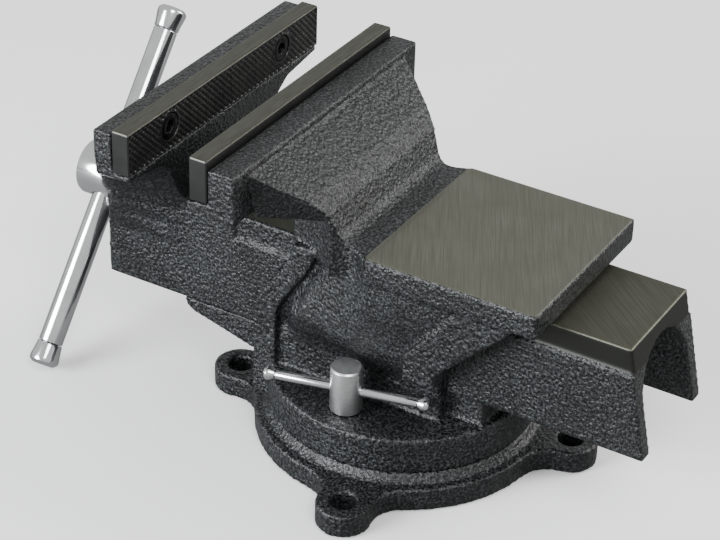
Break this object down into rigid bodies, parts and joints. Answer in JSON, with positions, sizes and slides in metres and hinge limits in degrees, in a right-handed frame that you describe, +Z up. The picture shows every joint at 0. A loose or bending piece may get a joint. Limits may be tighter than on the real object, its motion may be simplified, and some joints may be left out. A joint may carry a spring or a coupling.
{
  "type": "bench vise",
  "caption": "Cast swivel-base bench vise: serrated jaws, a channel slide driven by a lead screw with a sliding T-handle, an anvil pad, and lock bolts on a round lugged base.",
  "frame": {"origin": "where the swivel's axis meets the underside of the base", "axes": "+Z up along the swivel's axis, +Y from the handle towards the anvil and the slide's free end, +X along the jaws to the right"},
  "size_m": [0.1806, 0.3039, 0.1539],
  "materials": {
    "casting": "dark grey hammertone paint; the anvil's top and the slide's top are ground bare",
    "plate_steel": "ground steel, serrated gripping face",
    "black_steel": "black oxide",
    "zinc": "satin zinc",
    "chrome": "polished chrome",
    "steel": "turned steel",
    "nut_iron": "machined iron"
  },
  "bodies": {
    "base": {"swivel_base": "casting", "pivot_pin": "steel"},
    "head": {"static_body": "casting", "fixed_jaw_plate": "plate_steel", "fixed_plate_screw_left": "black_steel", "fixed_plate_screw_right": "black_steel", "lead_nut": "nut_iron", "nut_bolt": "black_steel", "t_nut_left": "black_steel", "t_nut_right": "black_steel"},
    "jaw": {"moving_jaw": "casting", "moving_jaw_plate": "plate_steel", "moving_plate_screw_left": "black_steel", "moving_plate_screw_right": "black_steel"},
    "screw": {"lead_screw": "steel", "thrust_washer": "steel", "retaining_collar": "steel", "collar_pin": "steel"},
    "handle": {"handle_bar": "chrome", "handle_cap_upper": "chrome", "handle_cap_lower": "chrome"},
    "lock_bolt_right": {"lock_bolt_right": "zinc"},
    "lock_rod_right": {"lock_rod_right": "chrome", "lock_knob_right_front": "chrome", "lock_knob_right_rear": "chrome"},
    "lock_bolt_left": {"lock_bolt_left": "zinc"},
    "lock_rod_left": {"lock_rod_left": "chrome", "lock_knob_left_front": "chrome", "lock_knob_left_rear": "chrome"}
  },
  "joints": [
    {"name": "swivel", "type": "hinge", "parent": "base", "child": "head", "pos_m": [0, 0, 0], "axis": [0, 0, 1], "continuous": true},
    {"name": "jaw_slide", "type": "slide", "parent": "head", "child": "jaw", "axis": [0, 1, 0], "range_m": [-0.0951, 0.0304]},
    {"name": "screw_turn", "type": "hinge", "parent": "jaw", "child": "screw", "pos_m": [0, -0.1605, 0.0797], "axis": [0, 1, 0], "range_deg": [-6840, 2184]},
    {"name": "handle_slide", "type": "slide", "parent": "screw", "child": "handle", "axis": [-0.6252, 0, 0.7804], "range_m": [-0.057, 0.071]},
    {"name": "lock_turn_right", "type": "hinge", "parent": "head", "child": "lock_bolt_right", "pos_m": [0.0464, -0.0027, 0.0435], "axis": [0, 0, 1], "range_deg": [-27, 0.3]},
    {"name": "lock_rod_slide_right", "type": "slide", "parent": "lock_bolt_right", "child": "lock_rod_right", "axis": [0.2334, -0.9724, 0], "range_m": [-0.025, 0.025]},
    {"name": "lock_turn_left", "type": "hinge", "parent": "head", "child": "lock_bolt_left", "pos_m": [-0.0464, -0.0027, 0.0435], "axis": [0, 0, 1], "range_deg": [-0.3, 27]},
    {"name": "lock_rod_slide_left", "type": "slide", "parent": "lock_bolt_left", "child": "lock_rod_left", "axis": [0.2334, 0.9724, 0], "range_m": [-0.025, 0.025]}
  ],
  "couplings": [
    {"joint": "jaw_slide", "follows": "screw_turn", "m_per_rad": 0.00079577}
  ]
}
